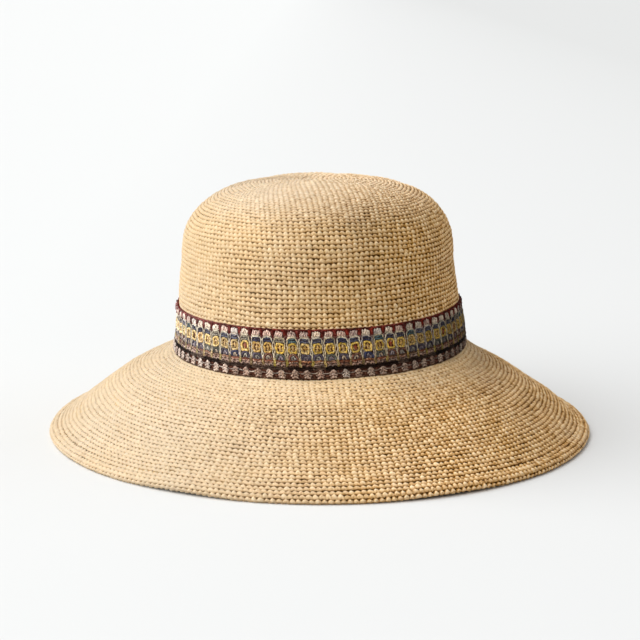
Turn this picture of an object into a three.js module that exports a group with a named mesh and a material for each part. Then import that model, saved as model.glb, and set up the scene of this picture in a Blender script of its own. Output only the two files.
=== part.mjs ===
// A straw cloche hat with a round crown, a sloping brim with a rolled edge, and a patterned band.
// Millimetres, +Z up. The front faces -Y, +X is on the right, and the brim's edge stands on Z = 0.
import * as THREE from 'three';

// The hat is first turned round, with these mean radii and heights, and then made oval.
const headRadius = 95;
const junctionHeight = 50.4;
const shoulderHeight = 101.3;
const crownHeight = 148.7;
const wallTaper = 6;
const roundness = 2.91;
const strawThickness = 3;
const edgeRadius = 170;

// A head is longer than it is wide: the front and back lie this much further out than the sides.
const ovalDifference = 18.8;
const ovalTurn = 0.069;

// The crown and its band stand a little higher on the right, and the crown leans to the left.
const bandTilt = 0.0227;
const crownTilt = 0.0132;
const crownLean = 0.0094;

const bandBottom = 49.9;
const bandTop = 77.2;
const bandThickness = 1.5;
const gap = 0.3;

const turnSteps = 80;
const crownSteps = 11;
const brimSteps = 9;
const bandSteps = 4;

// How steeply the brim falls, at distances down its slope from the crown.
const brimFall = [
  { along: 0, slope: 27.6 },
  { along: 19.5, slope: 27.7 },
  { along: 44.3, slope: 36.8 },
  { along: 70.9, slope: 34.1 },
  { along: 88.6, slope: 32.4 },
];
const brimLength = 83;

// The rolled edge's section: how far in from the edge, and how high, from the brim round the outside.
const rolledEdge = [
  { inward: 4.75, up: 6.1 },
  { inward: 3.3, up: 5.7 },
  { inward: 1.5, up: 4.6 },
  { inward: 0.3, up: 3.2 },
  { inward: 0, up: 1.9 },
  { inward: 0.5, up: 0.6 },
  { inward: 1.4, up: 0 },
  { inward: 4, up: 0 },
  { inward: 5.4, up: 1 },
  { inward: 6.35, up: 3.35 },
];

// Between these stretches the edge touches what the hat stands on; in them it lifts a little.
const edgeLifts = [
  { side: -121, spread: 16, up: 1.1 },
  { side: -68, spread: 20, up: 1.2 },
  { side: 40, spread: 22, up: 0.9 },
  { side: 130, spread: 24, up: 1 },
];
const liftStart = 120;

// Soft forms that wear has left in the crown: where they lie, how far they reach, how far they push.
const crownForms = [
  { side: 178, height: 138, spread: 60, reach: 22, push: -0.8 },
  { side: 178, height: 88, spread: 60, reach: 30, push: 0.7 },
  { side: 178, height: 64, spread: 60, reach: 26, push: -1.2 },
  { side: -8, height: 126, spread: 50, reach: 30, push: -0.4 },
  { side: -6, height: 60, spread: 50, reach: 22, push: 1 },
  { side: -66, height: 122, spread: 18, reach: 30, push: -0.9 },
  { side: -46, height: 120, spread: 18, reach: 34, push: 0.8 },
];

// The brim's own swells and hollows, at distances out from the crown.
const brimForms = [
  { side: 180, out: 29, spread: 110, reach: 37, up: 2.4 },
  { side: 0, out: 18, spread: 110, reach: 28, up: -1.8 },
  { side: -4, out: 59, spread: 80, reach: 23, up: 1.5 },
];

const strawColour = 0xd8b987;
const edgeColour = 0xd2b17e;
const bandColour = 0x7d6f70;

const radians = THREE.MathUtils.degToRad;
const smoothstep = THREE.MathUtils.smoothstep;

// A round hump: 1 in its middle, 0 from one width away.
function hump(distance, width) {
  const share = Math.min(Math.abs(distance) / width, 1);
  return Math.cos((share * Math.PI) / 2) ** 2;
}

// The smallest turn between two directions, in degrees.
function turnBetween(side, other) {
  return Math.abs(((side - other + 540) % 360) - 180);
}

// The crown's outer radius at a height up its wall.
function wallRadius(height) {
  const share = (height - junctionHeight) / (shoulderHeight - junctionHeight);
  return headRadius - wallTaper * share;
}

// A rounded dome from the shoulder to the top, thinner by an inset on its inner side.
function domePoints(inset) {
  const points = [];
  for (let i = 0; i <= crownSteps; i += 1) {
    const lift = (i / crownSteps) * (Math.PI / 2);
    const across = i === crownSteps ? 0 : Math.cos(lift) ** (2 / roundness);
    const up = Math.sin(lift) ** (2 / roundness);
    const radius = (wallRadius(shoulderHeight) - inset) * across;
    const height = shoulderHeight + (crownHeight - inset - shoulderHeight) * up;
    points.push(new THREE.Vector2(radius, height));
  }
  return points;
}

function crownProfile() {
  const foot = junctionHeight + gap / 2;
  const middle = (foot + shoulderHeight) / 2;
  const outside = [
    new THREE.Vector2(headRadius, foot),
    new THREE.Vector2(wallRadius(middle), middle),
    ...domePoints(0),
  ];
  const inside = [
    new THREE.Vector2(headRadius - strawThickness, foot),
    new THREE.Vector2(wallRadius(middle) - strawThickness, middle),
    ...domePoints(strawThickness),
  ];
  return [...inside.reverse(), ...outside];
}

// The brim's steepness, in radians, at a distance down its slope.
function slopeAt(along) {
  const next = brimFall.findIndex((row) => row.along >= along);
  const upper = brimFall[Math.max(next, 1) - 1];
  const lower = brimFall[Math.max(next, 1)];
  const share = (along - upper.along) / (lower.along - upper.along);
  return radians(upper.slope + (lower.slope - upper.slope) * share);
}

// A point on the brim's upper side, or straight below it by a depth into the straw.
function brimPoint(along, depth) {
  const strides = 40;
  const stride = along / strides;
  const point = new THREE.Vector2(headRadius, junctionHeight - gap / 2);
  for (let i = 0; i < strides; i += 1) {
    const slope = slopeAt((i + 0.5) * stride);
    point.x += Math.cos(slope) * stride;
    point.y -= Math.sin(slope) * stride;
  }
  const slope = slopeAt(along);
  point.x -= Math.sin(slope) * depth;
  point.y -= Math.cos(slope) * depth;
  return point;
}

function brimProfile() {
  const root = new THREE.Vector2(headRadius - strawThickness, junctionHeight - gap / 2);
  const upper = [];
  const under = [];
  for (let i = 0; i <= brimSteps; i += 1) {
    const along = (i / brimSteps) * brimLength;
    upper.push(brimPoint(along, 0));
    under.push(brimPoint(along, strawThickness));
  }
  const corner = new THREE.Vector2(root.x, under[0].y + strawThickness / 4);
  const loop = [root, corner, ...under, ...upper.reverse()];
  return [...loop, root.clone()];
}

function edgeProfile() {
  const loop = rolledEdge.map((row) => new THREE.Vector2(edgeRadius - row.inward, row.up));
  loop.reverse();
  return [...loop, loop[0].clone()];
}

function bandProfile() {
  const outside = [];
  for (let i = 0; i <= bandSteps; i += 1) {
    const height = bandBottom + ((bandTop - bandBottom) * i) / bandSteps;
    outside.push(new THREE.Vector2(wallRadius(height) + gap + bandThickness, height));
  }
  const innerFoot = bandBottom + bandThickness / 2;
  const loop = [
    new THREE.Vector2(wallRadius(bandTop) + gap, bandTop),
    new THREE.Vector2(wallRadius(innerFoot) + gap, innerFoot),
    ...outside,
  ];
  return [...loop, loop[0].clone()];
}

// How much higher the right side stands than the middle, for each millimetre to the right.
function tiltAt(radius, height) {
  if (radius > headRadius + 2 * bandThickness) {
    return bandTilt * (1 - smoothstep(radius, headRadius, edgeRadius - 7));
  }
  return bandTilt + (crownTilt - bandTilt) * smoothstep(height, bandTop, crownHeight);
}

// Moves a point of the round hat to its place on the oval, leaning, slightly worn one.
function worn(radius, side, height) {
  const degrees = THREE.MathUtils.radToDeg(side);
  let reach = radius;
  for (const form of crownForms) {
    const across = hump(turnBetween(degrees, form.side), form.spread);
    const share = across * hump(height - form.height, form.reach);
    reach += form.push * share * smoothstep(radius, 0, headRadius / 2);
  }
  const oval = (ovalDifference / 2) * Math.min(radius / headRadius, 1);
  const along = (reach - oval) * Math.cos(side);
  const across = (reach + oval) * Math.sin(side);
  const point = new THREE.Vector3(along, across, height);
  point.applyAxisAngle(new THREE.Vector3(0, 0, 1), ovalTurn);
  point.x -= Math.max(height - junctionHeight, 0) * crownLean;
  point.z += point.x * tiltAt(radius, height);
  for (const form of brimForms) {
    const share = hump(turnBetween(degrees, form.side), form.spread);
    const settled = 1 - smoothstep(radius, edgeRadius - 20, edgeRadius - 7);
    const started = smoothstep(radius, headRadius, headRadius + 12);
    point.z += form.up * share * hump(radius - headRadius - form.out, form.reach) * settled * started;
  }
  for (const row of edgeLifts) {
    const share = hump(turnBetween(degrees, row.side), row.spread);
    point.z += row.up * share * smoothstep(radius, liftStart, edgeRadius - 7);
  }
  return point;
}

function wornGeometry(profile) {
  const geometry = new THREE.LatheGeometry(profile, turnSteps);
  geometry.rotateX(Math.PI / 2);
  const place = geometry.attributes.position;
  for (let i = 0; i < place.count; i += 1) {
    const radius = Math.hypot(place.getX(i), place.getY(i));
    const side = Math.atan2(place.getY(i), place.getX(i));
    const point = worn(radius, side, place.getZ(i));
    place.setXYZ(i, point.x, point.y, point.z);
  }
  geometry.computeVertexNormals();
  return geometry;
}

function strawMaterial(colour) {
  return new THREE.MeshStandardMaterial({ color: colour, roughness: 0.8, metalness: 0 });
}

function piece(name, profile, material) {
  const mesh = new THREE.Mesh(wornGeometry(profile), material);
  mesh.name = name;
  return mesh;
}

const hat = new THREE.Group();
hat.add(
  piece('crown', crownProfile(), strawMaterial(strawColour)),
  piece('brim', brimProfile(), strawMaterial(strawColour)),
  piece('brim_edge', edgeProfile(), strawMaterial(edgeColour)),
  piece('hatband', bandProfile(), strawMaterial(bandColour)),
);

export default hat;
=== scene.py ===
import math

import bpy
import numpy as np
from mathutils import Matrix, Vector


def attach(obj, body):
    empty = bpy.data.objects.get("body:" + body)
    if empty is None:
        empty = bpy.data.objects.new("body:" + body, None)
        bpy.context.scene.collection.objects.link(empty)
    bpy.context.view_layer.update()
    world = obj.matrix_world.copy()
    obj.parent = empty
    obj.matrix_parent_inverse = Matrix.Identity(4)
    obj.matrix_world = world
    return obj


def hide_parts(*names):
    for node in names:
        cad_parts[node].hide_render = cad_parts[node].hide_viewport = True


# A crocheted straw cloche hat that stands on its brim. Metres, +Z up, the front towards -Y.
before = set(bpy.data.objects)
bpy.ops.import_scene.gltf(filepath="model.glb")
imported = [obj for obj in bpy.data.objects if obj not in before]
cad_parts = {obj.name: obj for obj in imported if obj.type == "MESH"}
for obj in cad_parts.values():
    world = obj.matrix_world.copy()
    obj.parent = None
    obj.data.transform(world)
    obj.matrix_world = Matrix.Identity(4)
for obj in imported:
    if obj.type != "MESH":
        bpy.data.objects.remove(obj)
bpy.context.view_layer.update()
milli = 0.001
chance = np.random.default_rng(27)


def clearSelection():
    if bpy.context.object and bpy.context.object.mode != 'OBJECT':
        bpy.ops.object.mode_set(mode='OBJECT')
    bpy.ops.object.select_all(action='DESELECT')


def pick(pieces):
    clearSelection()
    for piece in pieces:
        piece.select_set(True)
    bpy.context.view_layer.objects.active = pieces[0]


def triangles(piece):
    return sum(len(face.vertices) - 2 for face in piece.data.polygons)


def spotsOf(mesh):
    spots = np.empty(len(mesh.vertices) * 3)
    mesh.vertices.foreach_get('co', spots)
    return spots.reshape(-1, 3)


def cornersOf(mesh):
    corners = np.empty(len(mesh.loops), dtype=np.int32)
    mesh.loops.foreach_get('vertex_index', corners)
    return corners


def repeated(piece, count, step, near=None):
    # copies in a row along X, each merged with the next one where near is given
    pick([piece])
    array = piece.modifiers.new('repeats', 'ARRAY')
    array.count = count
    array.use_relative_offset = False
    array.use_constant_offset = True
    array.constant_offset_displace = (step, 0, 0)
    if near:
        array.use_merge_vertices = True
        array.merge_threshold = near
        array.offset_u = 1
    bpy.ops.object.modifier_apply(modifier=array.name)


# the camera stands where the photograph was taken from, a little above the crown
view = {
    'place': (0.00099, -1.150, 0.27415), 'down': 0.1809, 'lens': 110.3, 'sensor': 36,
    'farthest': 20,
}
clearSelection()
bpy.ops.object.camera_add(
    location=view['place'], rotation=(math.pi / 2 - view['down'], 0, 0))
camera = bpy.context.object
camera.data.lens = view['lens']
camera.data.sensor_width = view['sensor']
camera.data.clip_end = view['farthest']
bpy.context.scene.camera = camera
print('camera placed')

# the hat's sizes in millimetres, as a round hat before it is made oval and worn in
hat = {
    'headRadius': 95, 'junctionHeight': 50.4, 'shoulderHeight': 101.3, 'crownHeight': 148.7,
    'wallTaper': 6, 'roundness': 2.91, 'edgeRadius': 170,
    'ovalDifference': 18.8, 'ovalTurn': 0.069,
    'bandTilt': 0.0227, 'crownTilt': 0.0132, 'crownLean': 0.0094,
    'bandBottom': 49.9, 'bandTop': 77.2,
    # radii where the brim starts, its swells are full, they die out, it lifts, and its edge begins
    'brimFrom': 98, 'swellFrom': 107, 'settleFrom': 150, 'liftFrom': 120, 'groove': 163,
}
brimFall = {'along': [0, 19.5, 44.3, 70.9, 88.6], 'slope': [27.6, 27.7, 36.8, 34.1, 32.4]}
crownForms = [
    {'side': 178, 'height': 138, 'spread': 60, 'reach': 22, 'push': -0.8},
    {'side': 178, 'height': 88, 'spread': 60, 'reach': 30, 'push': 0.7},
    {'side': 178, 'height': 64, 'spread': 60, 'reach': 26, 'push': -1.2},
    {'side': -8, 'height': 126, 'spread': 50, 'reach': 30, 'push': -0.4},
    {'side': -6, 'height': 60, 'spread': 50, 'reach': 22, 'push': 1},
    {'side': -66, 'height': 122, 'spread': 18, 'reach': 30, 'push': -0.9},
    {'side': -46, 'height': 120, 'spread': 18, 'reach': 34, 'push': 0.8},
]
brimForms = [
    {'side': 180, 'out': 29, 'spread': 110, 'reach': 37, 'up': 2.4},
    {'side': 0, 'out': 18, 'spread': 110, 'reach': 28, 'up': -1.8},
    {'side': -4, 'out': 59, 'spread': 80, 'reach': 23, 'up': 1.5},
]
edgeLifts = [
    {'side': -121, 'spread': 16, 'up': 1.1},
    {'side': -68, 'spread': 20, 'up': 1.2},
    {'side': 40, 'spread': 22, 'up': 0.9},
    {'side': 130, 'spread': 24, 'up': 1},
]


def smoothStep(value, low, high):
    share = np.clip((value - low) / (high - low), 0, 1)
    return share * share * (3 - 2 * share)


def hump(distance, width):
    return np.cos(np.minimum(np.abs(distance) / width, 1) * math.pi / 2) ** 2


def turnBetween(side, other):
    return np.abs((side - other + 540) % 360 - 180)


def wallRadius(height):
    share = (height - hat['junctionHeight']) / (hat['shoulderHeight'] - hat['junctionHeight'])
    return hat['headRadius'] - hat['wallTaper'] * share


def wornPlace(radius, side, height):
    # from the round hat to the oval, leaning, slightly worn one; in metres
    degrees = np.degrees(side)
    reach = radius.copy()
    for form in crownForms:
        share = hump(turnBetween(degrees, form['side']), form['spread'])
        share = share * hump(height - form['height'], form['reach'])
        reach += form['push'] * share * smoothStep(radius, 0, hat['headRadius'] / 2)
    oval = hat['ovalDifference'] / 2 * np.minimum(radius / hat['headRadius'], 1)
    along = (reach - oval) * np.cos(side)
    across = (reach + oval) * np.sin(side)
    turn = hat['ovalTurn']
    x = along * math.cos(turn) - across * math.sin(turn)
    y = along * math.sin(turn) + across * math.cos(turn)
    x = x - np.maximum(height - hat['junctionHeight'], 0) * hat['crownLean']
    crownTilt = hat['bandTilt'] + (hat['crownTilt'] - hat['bandTilt']) * smoothStep(
        height, hat['bandTop'], hat['crownHeight'])
    brimTilt = hat['bandTilt'] * (1 - smoothStep(radius, hat['headRadius'], hat['groove']))
    z = height + x * np.where(radius > hat['brimFrom'], brimTilt, crownTilt)
    for form in brimForms:
        share = hump(turnBetween(degrees, form['side']), form['spread'])
        share = share * hump(radius - hat['headRadius'] - form['out'], form['reach'])
        settled = 1 - smoothStep(radius, hat['settleFrom'], hat['groove'])
        started = smoothStep(radius, hat['headRadius'], hat['swellFrom'])
        z = z + form['up'] * share * settled * started
    for lift in edgeLifts:
        share = hump(turnBetween(degrees, lift['side']), lift['spread'])
        z = z + lift['up'] * share * smoothStep(radius, hat['liftFrom'], hat['groove'])
    return np.stack([x, y, z], 1) * milli


# how many points each section line is drawn with
fineness = {'line': 400, 'dome': 300, 'wall': 60, 'brim': 300}


def lineOf(radius, height):
    # a section line by its length, with the direction that faces out of the straw
    stretch = np.concatenate([[0], np.cumsum(np.hypot(np.diff(radius), np.diff(height)))])
    steps = np.linspace(0, stretch[-1], fineness['line'])
    radius = np.interp(steps, stretch, radius)
    height = np.interp(steps, stretch, height)
    overR = np.gradient(radius, steps)
    overZ = np.gradient(height, steps)
    size = np.hypot(overR, overZ)
    return {'length': steps[-1], 'steps': steps, 'radius': radius, 'height': height,
            'outR': -overZ / size, 'outZ': overR / size}


def crownLine():
    lift = np.linspace(0, math.pi / 2, fineness['dome'])
    power = 2 / hat['roundness']
    across = np.cos(lift[:-1]) ** power
    radius = np.append(wallRadius(hat['shoulderHeight']) * across, 0)
    rise = hat['crownHeight'] - hat['shoulderHeight']
    height = hat['shoulderHeight'] + rise * np.sin(lift) ** power
    wall = np.linspace(hat['junctionHeight'], hat['shoulderHeight'], fineness['wall'])[:-1]
    radius = np.concatenate([wallRadius(wall), radius])
    height = np.concatenate([wall, height])
    return lineOf(radius[::-1], height[::-1])


def brimLine():
    along = np.linspace(0, brimFall['along'][-1], fineness['brim'])
    middle = (along[1:] + along[:-1]) / 2
    slope = np.radians(np.interp(middle, brimFall['along'], brimFall['slope']))
    stride = np.diff(along)
    radius = hat['headRadius'] + np.concatenate([[0], np.cumsum(np.cos(slope) * stride)])
    height = hat['junctionHeight'] - np.concatenate([[0], np.cumsum(np.sin(slope) * stride)])
    return lineOf(radius, height)


def onLine(line, stretch, proud):
    # a point at a length down the section and a height above its surface
    radius = np.interp(stretch, line['steps'], line['radius'])
    height = np.interp(stretch, line['steps'], line['height'])
    outR = np.interp(stretch, line['steps'], line['outR'])
    outZ = np.interp(stretch, line['steps'], line['outZ'])
    return radius + outR * proud, height + outZ * proud


# the rolled edge's section: how far in from the edge, and how high, from the brim to its underside
rolledEdge = {
    'inward': [4.75, 3.3, 1.5, 0.3, 0, 0.5, 1.4, 4, 5.4, 6.35],
    'up': [6.1, 5.7, 4.6, 3.2, 1.9, 0.6, 0, 0, 1, 3.35],
    'leadIn': [80, 83],  # lengths down the brim
}
crownSection = crownLine()
brimSection = brimLine()
edgeSection = lineOf(
    hat['edgeRadius'] - np.array(rolledEdge['inward']), np.array(rolledEdge['up']))
# the edge's rounds follow on from the brim's last ones
lastRadius, lastHeight = onLine(brimSection, np.array(rolledEdge['leadIn']), 0)
edgeRun = lineOf(
    np.append(lastRadius, edgeSection['radius']), np.append(lastHeight, edgeSection['height']))
lengths = [round(line['length'], 1) for line in (crownSection, brimSection, edgeSection)]
print('sections', lengths)

# one crochet stitch: how its strand swells and dips on its way to the next one
stitch = {
    'sides': 5, 'width': 3.5, 'rise': 2.49, 'brimRise': 2.58, 'slant': -0.05, 'ground': -0.95,
    'phase': [0, 0.27, 0.54, 0.80],
    'down': [0.45, -0.02, -0.36, 0.07],
    'half': [0.95, 1.42, 1.46, 1.36],
    'proud': [0.96, 1.20, 1.26, 1.12],
    'upperBase': -0.15, 'lowerBase': 0.25,
    'crestAt': -0.45, 'upperAt': -0.86, 'lowerAt': 0.62, 'upperProud': 0.55, 'lowerProud': 0.68,
    'crestAbove': 0.9, 'mapMiddle': 0.5, 'mapHalf': 0.45, 'near': 0.001,
}


def stitchStrand():
    clearSelection()
    bpy.ops.mesh.primitive_cylinder_add(
        vertices=stitch['sides'], radius=1, depth=1, end_fill_type='NOTHING',
        location=(0.5, 0, 0), rotation=(0, math.pi / 2, 0))
    piece = bpy.context.object
    bpy.ops.object.transform_apply(location=True, rotation=True, scale=True)
    bpy.ops.object.mode_set(mode='EDIT')
    for phase in stitch['phase'][1:]:
        bpy.ops.mesh.select_all(action='SELECT')
        bpy.ops.mesh.bisect(plane_co=(phase, 0, 0), plane_no=(1, 0, 0))
    bpy.ops.mesh.select_all(action='SELECT')
    # one corner of the strand is its crest
    bpy.ops.transform.rotate(value=math.pi / 2, orient_axis='X', center_override=(0, 0, 0))
    bpy.ops.object.mode_set(mode='OBJECT')
    mesh = piece.data
    spots = spotsOf(mesh)
    if spots[np.argmax(np.abs(spots[:, 2])), 2] < 0:
        spots[:, 1:] *= -1
    phases = np.array(stitch['phase'] + [1])
    part = np.abs(spots[:, 0][:, None] - phases[None]).argmin(1) % len(stitch['phase'])
    half = np.array(stitch['half'])[part]
    proud = np.array(stitch['proud'])[part]
    onCrest = spots[:, 2] > stitch['crestAbove']
    onShoulder = (spots[:, 2] > 0) & ~onCrest
    # the crest lies near the strand's upper side, and its lower side falls away gently
    upper = spots[:, 1] < 0
    shoulderAt = np.where(upper, stitch['upperAt'], stitch['lowerAt'])
    shoulderProud = np.where(upper, stitch['upperProud'], stitch['lowerProud'])
    across = np.where(onShoulder, shoulderAt, np.sign(spots[:, 1]))
    across = np.where(onCrest, stitch['crestAt'], across)
    spots[:, 1] = np.array(stitch['down'])[part] + half * across
    base = np.where(upper, stitch['upperBase'], stitch['lowerBase'])
    spots[:, 2] = np.where(onCrest, proud, np.where(onShoulder, shoulderProud * proud, base))
    mesh.vertices.foreach_set('co', spots.ravel())
    # the map runs along the strand, so that its fibres follow the bends
    corner = cornersOf(mesh)
    layer = mesh.uv_layers.active or mesh.uv_layers.new()
    layer.name = 'stitchMap'
    over = stitch['mapMiddle'] + stitch['mapHalf'] * across[corner]
    layer.data.foreach_set('uv', np.stack([spots[corner, 0], over], 1).ravel())
    bpy.ops.object.shade_smooth()
    piece.name = 'stitchStrand'
    return piece


# what differs by hand from stitch to stitch, from round to round, and on the hat's left
handwork = {
    'full': 0.07, 'shift': 0.11, 'stand': 0.07, 'nudge': 0.06, 'hole': 0.13,
    # on the next line, crestProud, the knot and groove numbers, flatLevel and flatten set the
    # painted shade of grooves and knot holes
    'crestProud': 1.3, 'knotShade': 0.12, 'groove': 0.46, 'flatLevel': 0.95, 'flatten': 1.6,
    # waves: how far, how many round the hat, how long down it, and where they start
    'wander': [(0.35, 3, 17, 0), (0.25, 7, -9, 1), (0.18, 13, 5, 0)],
    'swell': [(0.22, 5, 11, 0), (0.16, 11, -7, 0)],
    'wanderFrom': 20, 'edgeWander': 0.3, 'edgeSwell': 0.5,
    'left': 270, 'leftSpread': 85, 'crownFlatter': 0.3, 'brimWider': 0.15, 'brimFlatter': 0.45,
    'brimBumps': 0.11, 'bumpStart': 0.25,
}


def waves(rows, side, at):
    return sum(
        size * np.sin(times * side + at / run + start) for size, times, run, start in rows)


def crochetRound(strand, line, at, count, phase, row, size=1.0, lift=0.0, relief=1.0):
    piece = strand.copy()
    piece.data = strand.data.copy()
    bpy.context.collection.objects.link(piece)
    repeated(piece, count, 1, stitch['near'])
    mesh = piece.data
    x, y, z = spotsOf(mesh).T
    # no two stitches are alike
    own = np.floor(x + stitch['near']).astype(int)
    onKnot = np.abs(x - np.round(x)) < stitch['near']
    full = chance.normal(0, handwork['full'], count)
    shift = chance.normal(0, handwork['shift'], count)
    stand = chance.normal(0, handwork['stand'], count)
    nudge = chance.normal(0, handwork['nudge'], count + 1)
    nudge[-1] = nudge[0]
    hole = chance.normal(1, handwork['hole'], count + 1)
    hole[-1] = hole[0]

    def blended(values):
        here = values[own % count]
        before = values[(own - 1) % count]
        return np.where(onKnot, (here + before) / 2, here)

    grow = 1 + blended(full)
    narrow = np.where(onKnot, hole[np.round(x).astype(int)], 1)
    y = y * grow * size * narrow + blended(shift)
    level = z * np.where(z > 0, grow, 1) / handwork['crestProud']
    # painted shade by the strand's height: the grooves get a tan painted shade, and a brown one only
    # in the holes beside the knots
    level = np.where(
        onKnot, level - handwork['knotShade'], np.maximum(level, handwork['groove']))
    # flatter rounds get less painted shade, their level pulled towards a pale one
    flatShare = min(1, handwork['flatten'] * (1 - relief))
    level = level + (handwork['flatLevel'] - level) * flatShare
    z = (z * np.where(z > 0, grow, 1) * size + blended(stand)) * relief
    x = x + np.interp(x, np.arange(count + 1), nudge)
    side = (x - stitch['slant'] * y + phase) / count * 2 * math.pi
    # rounds wander a little, together with their neighbours
    wander = waves(handwork['wander'], side, at) * min(1, at / handwork['wanderFrom'])
    swell = waves(handwork['swell'], side, at)
    if line is edgeRun:
        wander = wander * handwork['edgeWander']
        swell = swell * handwork['edgeSwell']
    # at the left the crown's stitches are flatter, and the brim's and edge's flatter and wider
    atLeft = hump(turnBetween(np.degrees(side), handwork['left']), handwork['leftSpread'])
    if line is crownSection:
        z = z * (1 - handwork['crownFlatter'] * atLeft)
    else:
        y = y * (1 + handwork['brimWider'] * atLeft)
        z = z * (1 - handwork['brimFlatter'] * atLeft)
        bumps = np.sin(2 * math.pi * (x + handwork['bumpStart'])) * (z > 0)
        z = z + handwork['brimBumps'] * atLeft * bumps
    radius, height = onLine(line, at + y + wander, stitch['ground'] + z + swell + lift)
    spots = wornPlace(radius, side - math.pi / 2, np.maximum(height, 0))
    mesh.vertices.foreach_set('co', spots.ravel())
    layer = mesh.uv_layers['stitchMap']
    spread = np.empty(len(mesh.loops) * 2)
    layer.data.foreach_get('uv', spread)
    spread[1::2] += row
    layer.data.foreach_set('uv', spread)
    # the strand's painted relief shade, kept for the straw's colour
    reliefShade = mesh.attributes.new('reliefShade', 'FLOAT', 'POINT')
    reliefShade.data.foreach_set('value', level.astype(np.float32))
    return piece


def joined(pieces, name, near=0.00002):
    pick(pieces)
    if len(pieces) > 1:
        bpy.ops.object.join()
    piece = bpy.context.object
    bpy.ops.object.mode_set(mode='EDIT')
    bpy.ops.mesh.select_all(action='SELECT')
    bpy.ops.mesh.remove_doubles(threshold=near)
    bpy.ops.mesh.normals_make_consistent(inside=False)
    bpy.ops.object.mode_set(mode='OBJECT')
    piece.name = name
    piece.data.name = name
    print(name, triangles(piece), 'triangles')
    return piece


strand = stitchStrand()
# most rounds behind the band are left out
crownWork = {
    'behindBand': 2, 'fewest': 5, 'wallStitches': 164, 'aboveShoulder': 12, 'topShare': 0.60,
    'turn': 0.03, 'uneven': 0.04,
}
crownRounds = int(crownSection['length'] / stitch['rise'])
bandHeight = hat['bandTop'] - hat['bandBottom']
bandRounds = int(bandHeight / stitch['rise']) - crownWork['behindBand']
domeStretch = crownSection['length'] - (hat['shoulderHeight'] - hat['junctionHeight'])
rounds = []
for row in range(crownRounds - bandRounds):
    at = (row + 0.5) * stitch['rise']
    around = 2 * math.pi * float(onLine(crownSection, at, 0)[0])
    count = max(crownWork['fewest'], round(around / stitch['width']))
    if at > domeStretch - crownWork['aboveShoulder']:
        count = crownWork['wallStitches']
    phase = crownWork['turn'] * row + chance.normal(0, crownWork['uneven'])
    rounds.append(crochetRound(strand, crownSection, at, count, phase, row))
split = int(len(rounds) * crownWork['topShare'])
crownTop = joined(rounds[:split], 'crownTopRounds')
crownWall = joined(rounds[split:], 'crownWallRounds')

# the brim is pulled flatter near the crown, and gains stitches every third round
brimWork = {
    'rounds': 32, 'inner': 19, 'together': 3, 'turn': 0.03, 'uneven': 0.05, 'number': 100,
    'fullFrom': 11, 'relief': (0.62, 0.38), 'size': (1.1, -0.1), 'lift': 0.3, 'lastDown': 0.3,
}
rounds = []
for row in range(brimWork['rounds']):
    at = (row + 0.5) * stitch['brimRise']
    middle = (row // brimWork['together'] + 0.5) * brimWork['together']
    around = 2 * math.pi * float(onLine(brimSection, middle * stitch['brimRise'], 0)[0])
    count = round(around / stitch['width'])
    phase = brimWork['turn'] * row + chance.normal(0, brimWork['uneven'])
    outward = min(1, row / brimWork['fullFrom'])
    relief = brimWork['relief'][0] + brimWork['relief'][1] * outward
    size = brimWork['size'][0] + brimWork['size'][1] * outward
    if row == brimWork['rounds'] - 1:
        at += brimWork['lastDown']
    rounds.append(crochetRound(
        strand, brimSection, at, count, phase, brimWork['number'] + row, size,
        brimWork['lift'] * (1 - relief), relief))
brimInner = joined(rounds[:brimWork['inner']], 'brimInnerRounds')
brimOuter = joined(rounds[brimWork['inner']:], 'brimOuterRounds')

edgeRoll = {
    'rounds': 5, 'first': 4.4, 'rise': 3.1, 'size': 1.18, 'width': 3.5, 'lift': -0.1,
    'turn': 0.4, 'uneven': 0.05, 'number': 200,
}
rounds = []
edgeCount = round(2 * math.pi * hat['edgeRadius'] / edgeRoll['width'])
for row in range(edgeRoll['rounds']):
    at = edgeRoll['first'] + row * edgeRoll['rise']
    phase = edgeRoll['turn'] * row + chance.normal(0, edgeRoll['uneven'])
    rounds.append(crochetRound(
        strand, edgeRun, at, edgeCount, phase, edgeRoll['number'] + row,
        edgeRoll['size'], edgeRoll['lift']))
brimEdge = joined(rounds, 'brimEdgeRounds')
bpy.data.objects.remove(strand)


def turnedPiece(section, steps, name, stitchesRound=0, stretch=None):
    # a section line is spun round the middle, then worn like the rest
    clearSelection()
    bpy.ops.mesh.primitive_circle_add(vertices=len(section), radius=1)
    piece = bpy.context.object
    order = np.zeros((len(section), 3))
    order[:, 0] = section[:, 0]
    order[:, 2] = section[:, 1]
    piece.data.vertices.foreach_set('co', order.ravel())
    piece.data.update()
    bpy.ops.object.mode_set(mode='EDIT')
    bpy.ops.mesh.select_all(action='SELECT')
    bpy.ops.mesh.spin(steps=steps, angle=2 * math.pi, center=(0, 0, 0), axis=(0, 0, 1))
    bpy.ops.mesh.select_all(action='SELECT')
    bpy.ops.mesh.remove_doubles(threshold=0.01)
    bpy.ops.mesh.dissolve_degenerate(threshold=0.001)
    bpy.ops.mesh.normals_make_consistent(inside=False)
    bpy.ops.object.mode_set(mode='OBJECT')
    mesh = piece.data
    x, y, z = spotsOf(mesh).T
    radius = np.hypot(x, y)
    side = np.arctan2(y, x)
    if stretch is not None:
        # stitches round and rounds down, for the finish of the inner side
        nearest = np.hypot(radius[:, None] - section[:, 0], z[:, None] - section[:, 1]).argmin(1)
        corner = cornersOf(mesh)
        turn = side[corner] / (2 * math.pi)
        first = np.array([face.loop_start for face in mesh.polygons])
        size = np.array([face.loop_total for face in mesh.polygons])
        start = np.repeat(turn[first], size)
        turn = turn + np.round(start - turn)
        layer = mesh.uv_layers.new(name='stitchMap')
        down = np.asarray(stretch)[nearest[corner]] / stitch['rise']
        layer.data.foreach_set('uv', np.stack([turn * stitchesRound, down], 1).ravel())
    mesh.vertices.foreach_set('co', wornPlace(radius, side, z).ravel())
    bpy.ops.object.shade_smooth()
    piece.name = name
    mesh.name = name
    print(name, triangles(piece), 'triangles')
    return piece


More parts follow.
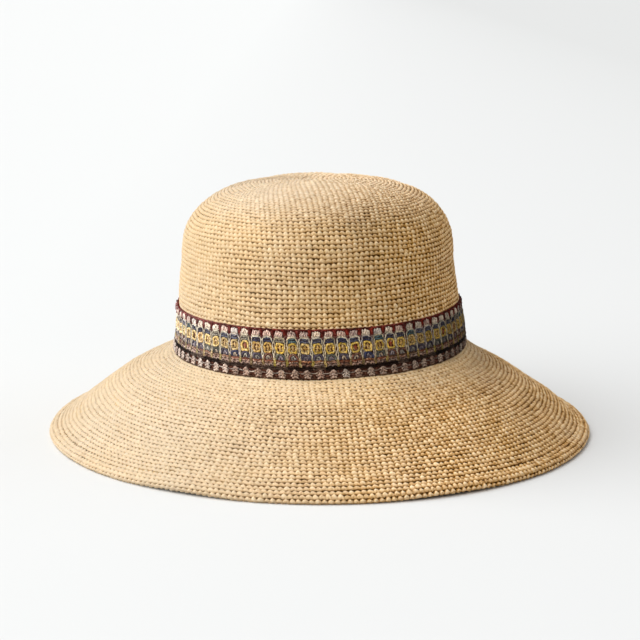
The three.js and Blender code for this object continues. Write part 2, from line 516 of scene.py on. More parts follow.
# a layer behind the stitches, with the backs of the rounds as ridges on its inner side
ground = {
    'outer': -1.0, 'inner': -2.9, 'ridge': 0.4, 'steps': 130, 'outerSteps': 40,
    'footDown': 2, 'footIn': 1.2, 'brimEnd': 84, 'core': -1.3, 'coreSteps': 12,
    'crownStitches': 150, 'brimStitches': 230, 'edgeStitches': 280, 'outward': 0.5,
}


def shellSection(line, first, last, poleStart):
    outerAt = np.linspace(first, last, ground['outerSteps'])
    outerR, outerZ = onLine(line, outerAt, ground['outer'])
    if poleStart:
        # the crown's foot reaches down behind the brim's root
        outerZ[-1] -= ground['footDown']
        outerR[-1] -= ground['footIn']
    ridgeAt = np.arange(last, first, -stitch['rise'] / 2)
    lift = np.where(np.arange(len(ridgeAt)) % 2 == 0, 0, -ground['ridge'])
    innerR, innerZ = onLine(line, ridgeAt, ground['inner'] + lift)
    section = np.concatenate([np.stack([outerR, outerZ], 1), np.stack([innerR, innerZ], 1)])
    stretch = np.concatenate([outerAt, ridgeAt])
    if poleStart:
        section[0, 0] = 0
        section = np.vstack([section, [[0, innerZ[-1]]]])
        stretch = np.append(stretch, 0)
    return section, stretch


section, stretch = shellSection(crownSection, 0, crownSection['length'], True)
crownShell = turnedPiece(
    section, ground['steps'], 'crownShell', ground['crownStitches'], stretch)
section, stretch = shellSection(brimSection, 0, ground['brimEnd'], False)
brimShell = turnedPiece(
    section, ground['steps'], 'brimShell', ground['brimStitches'], stretch)
coreAt = np.linspace(0, edgeSection['length'], ground['coreSteps'])
coreSection = np.stack(onLine(edgeSection, coreAt, ground['core']), 1)
edgeCore = turnedPiece(
    coreSection, ground['steps'], 'brimEdgeCore', ground['edgeStitches'], coreAt)

# the band: one repeat of its crochet pattern, charted flat in millimetres from its top edge down
band = {
    'cells': 77, 'width': 6.8, 'lean': 0.10, 'ground': 0.75, 'steps': 154,
    'chartRows': [0, 1.0, 3.7, 5.2, 6.8, 7.4, 11.9, 12.7, 15.6, 20.2, 21.6, 27.0],
    'bandRows': [0.2, 0.9, 4.4, 5.2, 7.2, 7.9, 12.9, 13.6, 16.6, 20.4, 21.8, 26.7],
    'middle': 13.7, 'below': 0.2, 'groundBelow': 0.2, 'groundIn': 0.1, 'groundSteps': 14,
    'tuck': 0.25, 'thin': 0.66, 'full': 1.24, 'apart': 0.16, 'rough': 0.075,
    # bends of the threads: how far, how close together, and how they go on in the next cell
    'bendX': (0.20, 1.9, 2.4), 'bendY': (0.18, 1.1, 1.7), 'rippleY': (0.10, 4.3, 1),
    'bendZ': (0.10, 1.3, 3.1),
    'mainShare': 0.5, 'cellTone': (0.8, 1.2), 'spotTone': (0.30, 1.35),
}
threads = [
    {'kind': 'topCord', 'bevel': 0,
     'at': [(-3.4, 0.5), (-1.7, 0.6), (0, 0.45), (1.7, 0.6), (3.4, 0.5)],
     'thick': 0.54, 'proud': 0.95},
    {'kind': 'tooth', 'bevel': 0, 'at': [(3.4, 0.6), (3.45, 1.8), (3.3, 3.0)],
     'thick': 1.0, 'proud': 1.3},
    {'kind': 'tuft', 'at': [(-1.9, 3.3), (-2.0, 2.1), (-1.1, 1.5)], 'thick': 0.50, 'proud': 1.35},
    {'kind': 'tuft', 'at': [(-1.0, 3.2), (-0.7, 2.0), (0.3, 1.3)], 'thick': 0.54, 'proud': 1.5},
    {'kind': 'tuft', 'at': [(0.3, 3.3), (0.7, 2.3), (1.2, 1.5)], 'thick': 0.52, 'proud': 1.45},
    {'kind': 'tuft', 'at': [(1.3, 3.3), (2.0, 2.5), (1.6, 1.7)], 'thick': 0.50, 'proud': 1.35},
    {'kind': 'tuftFoot', 'at': [(-2.3, 3.4), (-0.8, 3.7), (0.8, 3.6), (2.2, 3.4)],
     'thick': 0.42, 'proud': 1.3},
    {'kind': 'arch', 'at': [
        (-3.3, 15.6), (-3.0, 13.8), (-2.8, 12.2), (-2.98, 10.6), (-2.8, 9.0), (-2.95, 7.4),
        (-2.75, 5.8), (-2.45, 4.6), (-1.3, 4.2), (0, 4.1), (1.3, 4.2), (2.45, 4.6),
        (2.75, 5.8), (2.95, 7.4), (2.8, 9.0), (2.98, 10.6), (2.8, 12.2),
        (3.0, 13.8), (3.3, 15.6)], 'thick': 0.26, 'proud': 1.45},
    {'kind': 'bar', 'at': [(-2.5, 5.5), (-1.3, 5.1), (0, 5.5), (1.3, 5.1), (2.5, 5.5)],
     'thick': 0.55, 'proud': 1.15},
    {'kind': 'bar', 'at': [(-2.5, 6.6), (-1.3, 6.3), (0, 6.7), (1.3, 6.3), (2.5, 6.6)],
     'thick': 0.55, 'proud': 1.1},
    {'kind': 'loop', 'at': [
        (-1.4, 7.6), (0, 7.4), (1.4, 7.6), (2.05, 8.6), (1.9, 9.8), (2.05, 11.0), (1.3, 11.9),
        (0, 11.7), (-1.3, 11.9), (-2.05, 11.0), (-1.9, 9.8), (-2.05, 8.6)],
     'thick': 0.60, 'proud': 1.25, 'closed': True},
    {'kind': 'cross', 'at': [(0.1, 8.2), (0, 9.5), (0.1, 11.0)], 'thick': 0.42, 'proud': 1.2},
    {'kind': 'cross', 'at': [(-1.0, 9.3), (0, 9.7), (1.0, 9.3)], 'thick': 0.34, 'proud': 1.1},
    {'kind': 'lowArch', 'at': [
        (-2.3, 15.6), (-2.3, 14.2), (-1.4, 13.1), (0, 12.8), (1.4, 13.1), (2.3, 14.2), (2.3, 15.6)],
     'thick': 0.64, 'proud': 1.15},
    {'kind': 'paleArch', 'at': [(-0.9, 15.5), (-0.7, 14.3), (0, 13.8), (0.7, 14.3), (0.9, 15.5)],
     'thick': 0.40, 'proud': 1.2},
    {'kind': 'row', 'at': [
        (-2.8, 16.9), (-2.0, 16.2), (-1.1, 17.0), (-0.2, 16.2), (0.7, 17.0), (1.6, 16.2),
        (2.6, 16.9)], 'thick': 0.50, 'proud': 1.1},
    {'kind': 'bead', 'at': [(-2.2, 17.1), (-1.2, 17.7), (-0.3, 17.2)], 'thick': 0.44, 'proud': 1.25},
    {'kind': 'bead', 'at': [(0.4, 17.2), (1.4, 17.7), (2.3, 17.1)], 'thick': 0.44, 'proud': 1.25},
    {'kind': 'scallop', 'at': [(-2.6, 19.6), (-2.0, 18.6), (-1.1, 18.5), (-0.3, 19.5)],
     'thick': 0.50, 'proud': 1.2},
    {'kind': 'scallop', 'at': [(0.2, 19.5), (1.0, 18.5), (1.8, 18.6), (2.5, 19.6)],
     'thick': 0.50, 'proud': 1.2},
    {'kind': 'stem', 'at': [(3.05, 14.9), (3.1, 16.6), (3.0, 18.3), (3.1, 20.2)],
     'thick': 0.33, 'proud': 1.35},
    {'kind': 'stem', 'at': [(3.75, 14.9), (3.7, 16.6), (3.8, 18.3), (3.7, 20.2)],
     'thick': 0.33, 'proud': 1.35},
    {'kind': 'blackRow', 'bevel': 0,
     'at': [(-3.4, 20.4), (-1.7, 20.1), (0, 20.5), (1.7, 20.1), (3.4, 20.4)],
     'thick': 0.60, 'proud': 1.1},
    {'kind': 'blackRow', 'bevel': 0,
     'at': [(-3.4, 21.4), (-1.7, 21.6), (0, 21.3), (1.7, 21.6), (3.4, 21.4)],
     'thick': 0.60, 'proud': 1.0},
    {'kind': 'tree', 'at': [(-1.3, 23.6), (-0.8, 22.7), (0, 22.2), (0.8, 22.7), (1.3, 23.6)],
     'thick': 0.60, 'proud': 1.3},
    {'kind': 'tree', 'at': [(0, 22.6), (0, 24.2), (0, 26.6)], 'thick': 0.55, 'proud': 1.2},
    {'kind': 'tree', 'at': [(-1.8, 25.3), (-1.1, 24.4), (0, 24.2), (1.1, 24.4), (1.8, 25.3)],
     'thick': 0.50, 'proud': 1.3},
    {'kind': 'tree', 'at': [(-1.4, 26.6), (-0.8, 26.0), (0, 25.8), (0.8, 26.0), (1.4, 26.6)],
     'thick': 0.55, 'proud': 1.25},
    {'kind': 'link', 'at': [(1.5, 23.9), (3.4, 24.1), (5.3, 23.9)], 'thick': 0.28, 'proud': 1.1},
    {'kind': 'lowCord', 'bevel': 0,
     'at': [(-3.4, 27.0), (-1.7, 26.9), (0, 27.0), (1.7, 26.9), (3.4, 27.0)],
     'thick': 0.48, 'proud': 0.95},
]
# the colours that each kind of thread comes in, the first one most often
threadColours = {
    'topCord': [(0.19, 0.022, 0.014), (0.13, 0.016, 0.010), (0.08, 0.014, 0.009)],
    'tooth': [(0.19, 0.016, 0.008), (0.14, 0.013, 0.008), (0.10, 0.012, 0.008)],
    'tuft': [(0.80, 0.64, 0.49), (0.72, 0.48, 0.38), (0.68, 0.58, 0.50), (0.52, 0.36, 0.30)],
    'tuftFoot': [(0.74, 0.64, 0.46), (0.52, 0.44, 0.34)],
    'arch': [(0.70, 0.60, 0.44), (0.52, 0.43, 0.38), (0.56, 0.44, 0.28)],
    'bar': [(0.085, 0.085, 0.12), (0.06, 0.105, 0.11), (0.20, 0.17, 0.12), (0.045, 0.045, 0.08)],
    'loop': [(0.66, 0.42, 0.07), (0.60, 0.34, 0.06), (0.48, 0.36, 0.09), (0.58, 0.38, 0.12)],
    'cross': [(0.60, 0.36, 0.10), (0.34, 0.07, 0.03), (0.14, 0.04, 0.02), (0.66, 0.42, 0.16)],
    'lowArch': [(0.08, 0.065, 0.09), (0.05, 0.055, 0.12), (0.10, 0.10, 0.08), (0.16, 0.07, 0.045)],
    'paleArch': [(0.38, 0.34, 0.28), (0.28, 0.22, 0.25), (0.46, 0.34, 0.24)],
    'row': [(0.17, 0.05, 0.022), (0.12, 0.055, 0.025), (0.30, 0.12, 0.05)],
    'bead': [(0.40, 0.21, 0.14), (0.30, 0.19, 0.13), (0.15, 0.06, 0.035)],
    'scallop': [(0.38, 0.23, 0.17), (0.26, 0.17, 0.13), (0.16, 0.075, 0.045)],
    'stem': [(0.34, 0.25, 0.05), (0.42, 0.28, 0.08), (0.28, 0.18, 0.07)],
    'blackRow': [
        (0.020, 0.009, 0.006), (0.045, 0.022, 0.014), (0.012, 0.006, 0.004),
        (0.08, 0.045, 0.03)],
    'tree': [(0.50, 0.36, 0.28), (0.36, 0.22, 0.16), (0.58, 0.46, 0.38), (0.42, 0.28, 0.21)],
    'link': [(0.38, 0.30, 0.24), (0.26, 0.19, 0.15)],
    'lowCord': [(0.07, 0.028, 0.015), (0.11, 0.05, 0.025)],
}


def threadPiece(row):
    clearSelection()
    bpy.ops.curve.primitive_nurbs_path_add(radius=1, location=(0, 0, 0))
    piece = bpy.context.object
    curve = piece.data
    curve.splines.clear()
    spline = curve.splines.new('NURBS')
    closed = row.get('closed', False)
    last = len(row['at']) - 1
    spline.points.add(last)
    for number, (spot, (x, down)) in enumerate(zip(spline.points, row['at'])):
        tucked = 0 if closed or 0 < number < last else band['tuck']
        down = np.interp(down, band['chartRows'], band['bandRows'])
        spot.co = (x, -down, row['proud'] - tucked, 1)
        # thin and full by turns, as the loops of a crochet chain
        spot.radius = band['thin'] if number % 2 else band['full']
    spline.order_u = 3
    spline.use_endpoint_u = not closed
    spline.use_cyclic_u = closed
    spline.resolution_u = 2
    curve.resolution_u = 2
    curve.dimensions = '3D'
    curve.bevel_depth = row['thick']
    curve.bevel_resolution = row.get('bevel', 1)
    curve.use_fill_caps = not closed
    bpy.ops.object.convert(target='MESH')
    piece = bpy.context.object
    kind = piece.data.attributes.new('kind', 'INT', 'POINT')
    number = list(threadColours).index(row['kind'])
    kind.data.foreach_set('value', np.full(len(piece.data.vertices), number, dtype=np.int32))
    return piece


bandCell = joined([threadPiece(row) for row in threads], 'bandThreads', 0.001)
repeated(bandCell, band['cells'], band['width'])
mesh = bandCell.data
vertexCount = len(mesh.vertices)
cellNumber = np.arange(vertexCount) // (vertexCount // band['cells'])
kinds = np.empty(vertexCount, dtype=np.int32)
mesh.attributes['kind'].data.foreach_get('value', kinds)
colours = np.ones((vertexCount, 4))
for number, options in enumerate(threadColours.values()):
    rest = len(options) - 1
    weight = np.array([band['mainShare']] + [(1 - band['mainShare']) / rest] * rest)
    chosen = np.array(options)[chance.choice(len(options), band['cells'], p=weight)]
    chosen = chosen * chance.uniform(*band['cellTone'], (band['cells'], 1))
    here = kinds == number
    colours[here, :3] = chosen[cellNumber[here]]
colours[:, :3] *= chance.uniform(*band['spotTone'], (vertexCount, 1))
tone = mesh.color_attributes.new('threadColour', 'FLOAT_COLOR', 'POINT')
tone.data.foreach_set('color', colours.ravel())


def bend(along, size, close, own):
    return size * np.sin(along * close + cellNumber * own)


# hand-made cells: each a little out of line, and no thread quite smooth
x, y, z = spotsOf(mesh).T
x = x + chance.normal(0, band['apart'], band['cells'])[cellNumber] + bend(y, *band['bendX'])
y = y + bend(x, *band['bendY']) + bend(x, *band['rippleY'])
z = z + bend(y, *band['bendZ'])
x, y, z = (values + chance.normal(0, band['rough'], vertexCount) for values in (x, y, z))
leaned = x / band['width'] - band['lean'] * (y + band['middle']) / band['width']
side = leaned / band['cells'] * 2 * math.pi
height = np.maximum(hat['bandTop'] + y, hat['bandBottom'] - band['below'])
radius = wallRadius(height) + z
mesh.vertices.foreach_set('co', wornPlace(radius, side - math.pi / 2, height).ravel())
mesh.update()
# a plain strip behind the threads
groundHeights = np.linspace(
    hat['bandTop'] - band['groundBelow'], hat['bandBottom'], band['groundSteps'])
outer = np.stack([wallRadius(groundHeights) + band['ground'], groundHeights], 1)
inner = np.stack([wallRadius(groundHeights) - band['groundIn'], groundHeights], 1)[::-1]
bandGround = turnedPiece(np.vstack([outer, inner]), band['steps'], 'bandGround')

for piece in (crownTop, crownWall, crownShell):
    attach(piece, 'root')
    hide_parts('crown')
for piece in (brimInner, brimOuter, brimShell):
    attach(piece, 'root')
    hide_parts('brim')
for piece in (brimEdge, edgeCore):
    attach(piece, 'root')
    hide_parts('brim_edge')
for piece in (bandCell, bandGround):
    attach(piece, 'root')
    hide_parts('hatband')


def newMaterial(name, specular, roughness=0.5):
    material = bpy.data.materials.new(name)
    material.use_nodes = True
    shader = material.node_tree.nodes['Principled BSDF']
    shader.inputs['Specular IOR Level'].default_value = specular
    shader.inputs['Roughness'].default_value = roughness
    return material, material.node_tree, shader


def addNode(tree, kind, settings=None, values=None):
    node = tree.nodes.new(kind)
    for name, value in (settings or {}).items():
        setattr(node, name, value)
    for name, value in (values or {}).items():
        node.inputs[name].default_value = value
    return node


def mathNode(tree, operation, first, second=None, third=None):
    node = addNode(tree, 'ShaderNodeMath', {'operation': operation})
    for socket, value in zip(node.inputs, (first, second, third)):
        if value is None:
            continue
        if isinstance(value, (int, float)):
            socket.default_value = value
        else:
            tree.links.new(value, socket)
    return node.outputs[0]


def ramp(tree, value, stops):
    # a stop is a place with a colour, or with one number for a grey
    node = addNode(tree, 'ShaderNodeValToRGB')
    marks = node.color_ramp.elements
    while len(marks) < len(stops):
        marks.new(0.5)
    for mark, (place, colour) in zip(marks, stops):
        mark.position = place
        mark.color = (*colour, 1) if isinstance(colour, tuple) else (colour, colour, colour, 1)
    tree.links.new(value, node.inputs['Fac'])
    return node.outputs['Color']


def mixColour(tree, share, first, second):
    node = addNode(tree, 'ShaderNodeMix', {'data_type': 'RGBA'})
    colours = [socket for socket in node.inputs if socket.type == 'RGBA']
    for socket, value in zip(colours, (first, second)):
        tree.links.new(value, socket)
    tree.links.new(share, node.inputs['Factor'])
    return [socket for socket in node.outputs if socket.type == 'RGBA'][0]


def mapped(tree, value, first, last, start=0, end=1):
    # a value between first and last becomes one between start and end
    node = addNode(tree, 'ShaderNodeMapRange', None, {
        'From Min': first, 'From Max': last, 'To Min': start, 'To Max': end})
    tree.links.new(value, node.inputs['Value'])
    return node.outputs[0]


def axesOf(tree, place):
    node = addNode(tree, 'ShaderNodeSeparateXYZ')
    tree.links.new(place, node.inputs[0])
    return node.outputs


def objectPlace(tree):
    place = addNode(tree, 'ShaderNodeTexCoord').outputs['Object']
    return place, axesOf(tree, place)


def stitchPlace(tree):
    place = addNode(tree, 'ShaderNodeUVMap', {'uv_map': 'stitchMap'}).outputs[0]
    return place, axesOf(tree, place)


def scaled(tree, place, scale):
    node = addNode(tree, 'ShaderNodeMapping', None, {'Scale': scale})
    tree.links.new(place, node.inputs['Vector'])
    return node.outputs[0]


def noise(tree, place, scale, detail, roughness=0.5):
    node = addNode(tree, 'ShaderNodeTexNoise', None, {
        'Scale': scale, 'Detail': detail, 'Roughness': roughness})
    tree.links.new(place, node.inputs['Vector'])
    return node.outputs['Fac']


def ownTones(tree, stitchNumber, roundNumber):
    # each stitch has a tone of its own, and so has each round
    both = addNode(tree, 'ShaderNodeCombineXYZ')
    tree.links.new(stitchNumber, both.inputs['X'])
    tree.links.new(roundNumber, both.inputs['Y'])
    stitchTone = addNode(tree, 'ShaderNodeTexWhiteNoise', {'noise_dimensions': '2D'})
    tree.links.new(both.outputs[0], stitchTone.inputs['Vector'])
    roundTone = addNode(tree, 'ShaderNodeTexWhiteNoise', {'noise_dimensions': '1D'})
    tree.links.new(roundNumber, roundTone.inputs['W'])
    return stitchTone.outputs['Value'], roundTone.outputs['Value']


def shifted(tree, colour, changes):
    node = addNode(tree, 'ShaderNodeHueSaturation')
    for name, value in changes.items():
        tree.links.new(value, node.inputs[name])
    tree.links.new(colour, node.inputs['Color'])
    return node.outputs['Color']


def bump(tree, shader, height, strength, distance):
    node = addNode(tree, 'ShaderNodeBump', None, {'Strength': strength, 'Distance': distance})
    tree.links.new(height, node.inputs['Height'])
    tree.links.new(node.outputs[0], shader.inputs['Normal'])


# raffia: painted relief shade, pale on the crests, tan on the sides and brown in the depths, each
# stitch of its own tone
raffia = {
    'tones': [
        (0.0, (0.10, 0.04, 0.005)), (0.30, (0.39, 0.205, 0.058)), (0.58, (0.70, 0.47, 0.24)),
        (0.88, (0.88, 0.69, 0.44))],
    # each pair below goes from the lit left of the hat to its shaded right, as painted light and
    # painted shade
    'litSide': -0.08, 'shadeSide': 0.07,
    'saturation': (0.82, 1.08), 'hue': (0.503, 0.498), 'even': (0.76, -0.50), 'dim': (0.80, 1.055),
    'evenLevel': 0.68, 'drift': (22, 3), 'driftShare': 0.2, 'duller': 0.235,
    'stitchShare': 0.12, 'roundShare': 0.06, 'value': 0.93, 'fullHeight': 0.15,
    'paintedHeightSaturation': [(0.33, 0.3), (0.58, 0.5), (0.87, 0.5), (0.97, 0)], 'paintedHeightShare': 0.45,
    # places of painted shade: how much, from where to where across, and at which shares of the
    # height; the crown's upper right, the far right of crown and brim, and a painted shadow at the
    # band's foot on the right
    'paintedShades': [
        {'much': 0.29, 'from': -0.04, 'to': 0.03,
         'heights': [(0.33, 0), (0.58, 0.65), (0.80, 0.65), (0.89, 1), (0.985, 0.15)]},
        {'much': 0.19, 'from': 0.075, 'to': 0.12},
        {'much': 0.34, 'from': 0.03, 'to': 0.09,
         'heights': [(0.22, 0), (0.30, 1), (0.36, 1), (0.45, 0)]},
    ],
}


def raffiaTone(tree, level, stitchTone, roundTone):
    # painted light across the hat: the lit left is paler in colour with its painted relief shade
    # evened out, the shaded right more saturated with it deepened, and the brightness scaled along
    # the way
    place, axes = objectPlace(tree)
    paintedSideLight = {
        name: mapped(tree, axes['X'], raffia['litSide'], raffia['shadeSide'], *raffia[name])
        for name in ('saturation', 'hue', 'even', 'dim')}
    # on the lit left the painted relief shade is evened out towards one level, and on the shaded
    # right it is deepened
    own = mathNode(tree, 'SUBTRACT', raffia['evenLevel'], level)
    level = mathNode(tree, 'MULTIPLY_ADD', own, paintedSideLight['even'], level)
    colour = ramp(tree, level, raffia['tones'])
    drift = noise(tree, place, *raffia['drift'])
    saturation = mathNode(tree, 'MULTIPLY_ADD', drift, raffia['driftShare'], paintedSideLight['saturation'])
    saturation = mathNode(tree, 'SUBTRACT', saturation, raffia['duller'])
    value = mathNode(tree, 'MULTIPLY_ADD', stitchTone, raffia['stitchShare'], raffia['value'])
    value = mathNode(tree, 'MULTIPLY_ADD', roundTone, raffia['roundShare'], value)
    value = mathNode(tree, 'MULTIPLY', value, paintedSideLight['dim'])
    # painted light by height: the crown's wall most saturated, the brim less and the top least,
    # paler where light falls from above; painted shade on the right of the crown and brim and below
    # the band there
    height = mapped(tree, axes['Z'], 0, raffia['fullHeight'])
    paintedHeightSaturation = ramp(tree, height, raffia['paintedHeightSaturation'])
    saturation = mathNode(tree, 'MULTIPLY_ADD', paintedHeightSaturation, raffia['paintedHeightShare'], saturation)
    for paintedShade in raffia['paintedShades']:
        much = mapped(tree, axes['X'], paintedShade['from'], paintedShade['to'], 0, paintedShade['much'])
        if 'heights' in paintedShade:
            much = mathNode(tree, 'MULTIPLY', ramp(tree, height, paintedShade['heights']), much)
        value = mathNode(tree, 'SUBTRACT', value, much)
    return shifted(
        tree, colour, {'Hue': paintedSideLight['hue'], 'Saturation': saturation, 'Value': value})


strawLook = {
    'specular': 0.25, 'glow': 0.12, 'glowScale': 0.0008, 'glowRadius': (1, 0.7, 0.4),
    'fibreRun': (1.3, 13, 1), 'fibre': (1, 3, 0.6), 'fibreShare': 0.22,
    'crestPower': 1.4, 'crestShare': 0.66, 'lowest': 0.20, 'paintedShadeShift': 0.11,
    'dentRun': (2.3, 2.6, 1), 'dent': (1, 1), 'dents': (0.36, 0.50, -0.16, 0),
    'gloss': (0.75, 0.5), 'bump': (0.5, 0.0003),
}
straw, tree, shader = newMaterial('straw', strawLook['specular'])
shader.inputs['Subsurface Weight'].default_value = strawLook['glow']
shader.inputs['Subsurface Scale'].default_value = strawLook['glowScale']
shader.inputs['Subsurface Radius'].default_value = strawLook['glowRadius']
place, axes = stitchPlace(tree)
tones = ownTones(tree, mathNode(tree, 'FLOOR', axes['X']), mathNode(tree, 'FLOOR', axes['Y']))
fibre = noise(tree, scaled(tree, place, strawLook['fibreRun']), *strawLook['fibre'])
# the strand's height gives the straw its painted relief shade, pale on crests and darker in grooves
reliefShade = addNode(tree, 'ShaderNodeAttribute', {'attribute_name': 'reliefShade'})
level = mathNode(tree, 'MAXIMUM', reliefShade.outputs['Fac'], 0)
level = mathNode(tree, 'POWER', level, strawLook['crestPower'])
level = mathNode(tree, 'MULTIPLY_ADD', level, strawLook['crestShare'], strawLook['lowest'])
level = mathNode(tree, 'MULTIPLY_ADD', fibre, strawLook['fibreShare'], level)
level = mathNode(tree, 'SUBTRACT', level, strawLook['paintedShadeShift'])
# painted shade in small dents where strands tuck under each other
dents = noise(tree, scaled(tree, place, strawLook['dentRun']), *strawLook['dent'])
level = mathNode(tree, 'ADD', level, mapped(tree, dents, *strawLook['dents']))
tree.links.new(raffiaTone(tree, level, *tones), shader.inputs['Base Color'])
tree.links.new(mapped(tree, fibre, 0, 1, *strawLook['gloss']), shader.inputs['Roughness'])
bump(tree, shader, fibre, *strawLook['bump'])

# what shows between the stitches: painted light at the lit left, and painted shade dark in the
# depths at the right
groundLook = {
    'specular': 0.2, 'roughness': 0.85, 'mottle': (900, 2), 'mottleShare': 0.4,
    'paintedShadeShift': (-0.1, 0.8),
    'tones': [(0.1, (0.64, 0.45, 0.22)), (0.45, (0.12, 0.052, 0.008)), (1, (0.03, 0.012, 0.001))],
}
groundStraw, tree, shader = newMaterial(
    'groundStraw', groundLook['specular'], groundLook['roughness'])
place, axes = objectPlace(tree)
mottle = noise(tree, place, *groundLook['mottle'])
paintedShadeShift = mapped(tree, axes['X'], raffia['litSide'], raffia['shadeSide'], *groundLook['paintedShadeShift'])
level = mathNode(tree, 'MULTIPLY_ADD', mottle, groundLook['mottleShare'], paintedShadeShift)
tree.links.new(ramp(tree, level, groundLook['tones']), shader.inputs['Base Color'])

# the inner side shows the same rounds from behind, as shallow waves with painted shade in their
# troughs and the straw's painted side light
innerLook = {
    'specular': 0.2, 'roughness': 0.7, 'zigzag': 0.8, 'knotShare': 0.35,
    'fibre': (3, 3), 'fibreShare': 0.28, 'ridgeShare': 0.42, 'lowest': 0.16, 'bump': (1, 0.0009),
}
innerStraw, tree, shader = newMaterial(
    'innerStraw', innerLook['specular'], innerLook['roughness'])
place, axes = stitchPlace(tree)
wave = mathNode(tree, 'PINGPONG', axes['X'], 0.5)
down = mathNode(tree, 'MULTIPLY_ADD', wave, innerLook['zigzag'], axes['Y'])
ridge = mathNode(tree, 'MULTIPLY', mathNode(tree, 'PINGPONG', down, 0.5), 2)
knot = mathNode(tree, 'MULTIPLY', wave, 2)
ridge = mathNode(tree, 'MULTIPLY_ADD', knot, innerLook['knotShare'], ridge)
tones = ownTones(tree, mathNode(tree, 'FLOOR', axes['X']), mathNode(tree, 'FLOOR', down))
fibre = noise(tree, place, *innerLook['fibre'])
level = mathNode(tree, 'MULTIPLY_ADD', ridge, innerLook['ridgeShare'], innerLook['lowest'])
level = mathNode(tree, 'MULTIPLY_ADD', fibre, innerLook['fibreShare'], level)
tree.links.new(raffiaTone(tree, level, *tones), shader.inputs['Base Color'])
bump(tree, shader, ridge, *innerLook['bump'])
print('straw materials made')

# the band's threads: fuzzy cotton, with painted shade darkest at its right end and painted light
# leaving it paler and brighter at its left
yarnLook = {
    'specular': 0.04, 'roughness': 0.8, 'fuzz': (1500, 4, 0.7), 'fuzzShare': (3.4, -0.67),
    'fleck': (1100, 2), 'flecks': (0.48, 0.62, 0, 0.42), 'fleckLighter': 1.2,
    'bit': (620, 2), 'bits': [
        (0.40, (0.05, 0.022, 0.014)), (0.47, (0.46, 0.36, 0.24)), (0.54, (0.55, 0.46, 0.36)),
        (0.60, (0.16, 0.19, 0.20))],
    'paleness': (5, 0.04), 'paintedEndShade': [(-0.09, 0.09, 1.22, 0.54), (0.03, 0.08, 1, 0.68)],
    'paintedLitPaleness': (-0.09, -0.02, 0.66, 1), 'bump': (0.6, 0.0002),
}
yarn, tree, shader = newMaterial('yarn', yarnLook['specular'], yarnLook['roughness'])
place, axes = objectPlace(tree)
tone = addNode(tree, 'ShaderNodeAttribute', {'attribute_name': 'threadColour'}).outputs['Color']
fuzz = noise(tree, place, *yarnLook['fuzz'])
flecks = mapped(tree, noise(tree, place, *yarnLook['fleck']), *yarnLook['flecks'])
# bits of other strands show through, dark, pale and blue-grey, and most in the pale threads
bits = ramp(tree, noise(tree, place, *yarnLook['bit']), yarnLook['bits'])
grey = addNode(tree, 'ShaderNodeRGBToBW')
tree.links.new(tone, grey.inputs['Color'])
paleness = mathNode(tree, 'MULTIPLY_ADD', grey.outputs[0], *yarnLook['paleness'])
share = mathNode(tree, 'MULTIPLY', flecks, mathNode(tree, 'MINIMUM', paleness, 1))
mixedTone = mixColour(tree, share, tone, bits)
value = mathNode(tree, 'MULTIPLY_ADD', fuzz, *yarnLook['fuzzShare'])
value = mathNode(tree, 'MULTIPLY_ADD', share, yarnLook['fleckLighter'], value)
# painted shade: the band brighter at its lit left and darker towards its right end
for end in yarnLook['paintedEndShade']:
    value = mathNode(tree, 'MULTIPLY', value, mapped(tree, axes['X'], *end))
# painted light: the band less saturated at its lit left
paintedLitPaleness = mapped(tree, axes['X'], *yarnLook['paintedLitPaleness'])
colour = shifted(tree, mixedTone, {'Saturation': paintedLitPaleness, 'Value': value})
tree.links.new(colour, shader.inputs['Base Color'])
bump(tree, shader, fuzz, *yarnLook['bump'])

# what shows between the threads, in rows from the band's foot up
rowsLook = {
    'specular': 0.04, 'roughness': 0.85, 'blur': (700, 2), 'blurShare': 0.0016, 'raised': 0.8,
    'lint': (900, 2), 'lintShare': (0.46, 0.60),
    'dark': [
        (0.0, (0.045, 0.014, 0.008)), (0.15, (0.035, 0.010, 0.006)),
        (0.22, (0.014, 0.007, 0.005)), (0.28, (0.09, 0.035, 0.018)),
        (0.42, (0.05, 0.03, 0.035)), (0.56, (0.06, 0.025, 0.015)),
        (0.62, (0.14, 0.025, 0.012)), (0.74, (0.05, 0.035, 0.045)),
        (0.86, (0.12, 0.012, 0.008)), (1.0, (0.10, 0.012, 0.008))],
    'pale': [
        (0.0, (0.13, 0.055, 0.035)), (0.15, (0.12, 0.05, 0.03)), (0.22, (0.035, 0.017, 0.012)),
        (0.28, (0.24, 0.12, 0.06)), (0.42, (0.20, 0.20, 0.24)), (0.54, (0.62, 0.50, 0.30)),
        (0.62, (0.58, 0.38, 0.08)), (0.74, (0.24, 0.26, 0.24)), (0.84, (0.30, 0.16, 0.12)),
        (1.0, (0.20, 0.018, 0.012))],
}
bandRows, tree, shader = newMaterial('bandRows', rowsLook['specular'], rowsLook['roughness'])
place, axes = objectPlace(tree)
# the band stands a little higher on the right, so its rows are read square to that
level = mathNode(tree, 'MULTIPLY_ADD', axes['X'], -hat['bandTilt'], axes['Z'])
blur = noise(tree, place, *rowsLook['blur'])
level = mathNode(tree, 'MULTIPLY_ADD', blur, rowsLook['blurShare'], level)
rows = mapped(
    tree, level, (hat['bandBottom'] + rowsLook['raised']) * milli,
    (hat['bandTop'] + rowsLook['raised']) * milli)
lint = mapped(tree, noise(tree, place, *rowsLook['lint']), *rowsLook['lintShare'])
mixedRows = mixColour(
    tree, lint, ramp(tree, rows, rowsLook['dark']), ramp(tree, rows, rowsLook['pale']))
tree.links.new(mixedRows, shader.inputs['Base Color'])
print('band materials made')

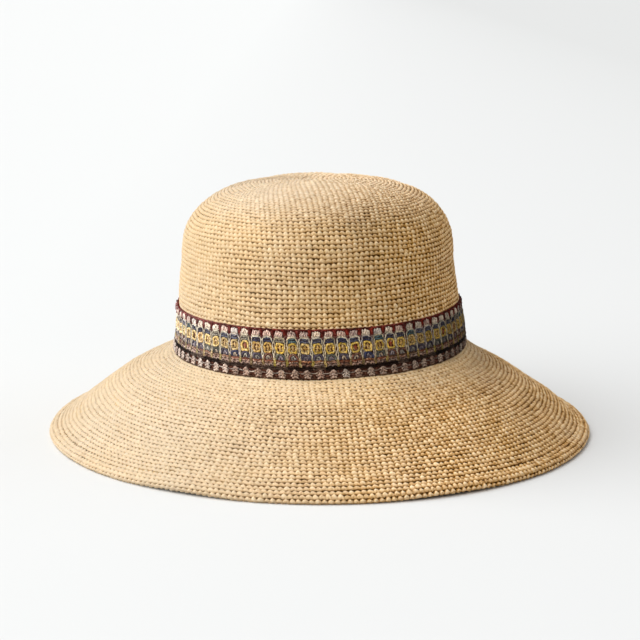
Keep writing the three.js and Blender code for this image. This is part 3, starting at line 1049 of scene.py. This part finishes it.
bandCell.data.materials.append(yarn)
bandGround.data.materials.append(bandRows)
for piece in (crownTop, crownWall, brimInner, brimOuter, brimEdge):
    piece.data.materials.append(straw)
for piece in (crownShell, brimShell, edgeCore):
    piece.data.materials.append(groundStraw)
    piece.data.materials.append(innerStraw)
    for face in piece.data.polygons:
        # the side towards the head and the floor is the inner one
        away = Vector((face.center.x, face.center.y, 0)).normalized()
        facing = ground['outward'] * face.normal.dot(away) + face.normal.z
        face.material_index = int(facing < 0)

# a plain pale studio: a wide floor that fills the view, painted darker towards the right as a
# painted falloff of the light, and a soft key light from the left
studio = {
    'floor': 60, 'specular': 0, 'roughness': 0.95, 'paintedFalloff': (-0.25, 0.9),
    # the paper's painted falloff of the light, from the lit left to the darker right
    'paper': [(0, (0.735, 0.742, 0.737)), (0.4, (0.682, 0.687, 0.684)), (1, (0.618, 0.623, 0.618))],
    'lights': [
        {'from': (-1.0, -0.28, 0.92), 'energy': 4.25, 'softness': 92, 'colour': (0.98, 0.99, 1)},
        # a weak one from the right lifts that edge
        {'from': (1, 0.2, 0.42), 'energy': 0.54, 'softness': 60, 'colour': (1, 1, 1)}],
    'air': 0.37, 'airColour': (1, 0.985, 0.965, 1),
}
clearSelection()
bpy.ops.mesh.primitive_plane_add(size=studio['floor'], location=(0, 0, 0))
floor = bpy.context.object
floor.name = 'studioFloor'
paper, tree, shader = newMaterial('studioPaper', studio['specular'], studio['roughness'])
place, axes = objectPlace(tree)
paintedFalloff = mapped(tree, axes['X'], *studio['paintedFalloff'])
tree.links.new(ramp(tree, paintedFalloff, studio['paper']), shader.inputs['Base Color'])
floor.data.materials.append(paper)

for light in studio['lights']:
    clearSelection()
    start = Vector(light['from'])
    aim = start.to_track_quat('Z', 'Y').to_euler()
    bpy.ops.object.light_add(type='SUN', location=start * 2, rotation=aim)
    sun = bpy.context.object.data
    sun.energy = light['energy']
    sun.angle = math.radians(light['softness'])
    sun.color = light['colour']
world = bpy.data.worlds.new('studioAir')
bpy.context.scene.world = world
world.use_nodes = True
air = world.node_tree.nodes['Background']
air.inputs['Color'].default_value = studio['airColour']
air.inputs['Strength'].default_value = studio['air']
bpy.context.scene.view_settings.view_transform = 'Standard'
print('studio lit')
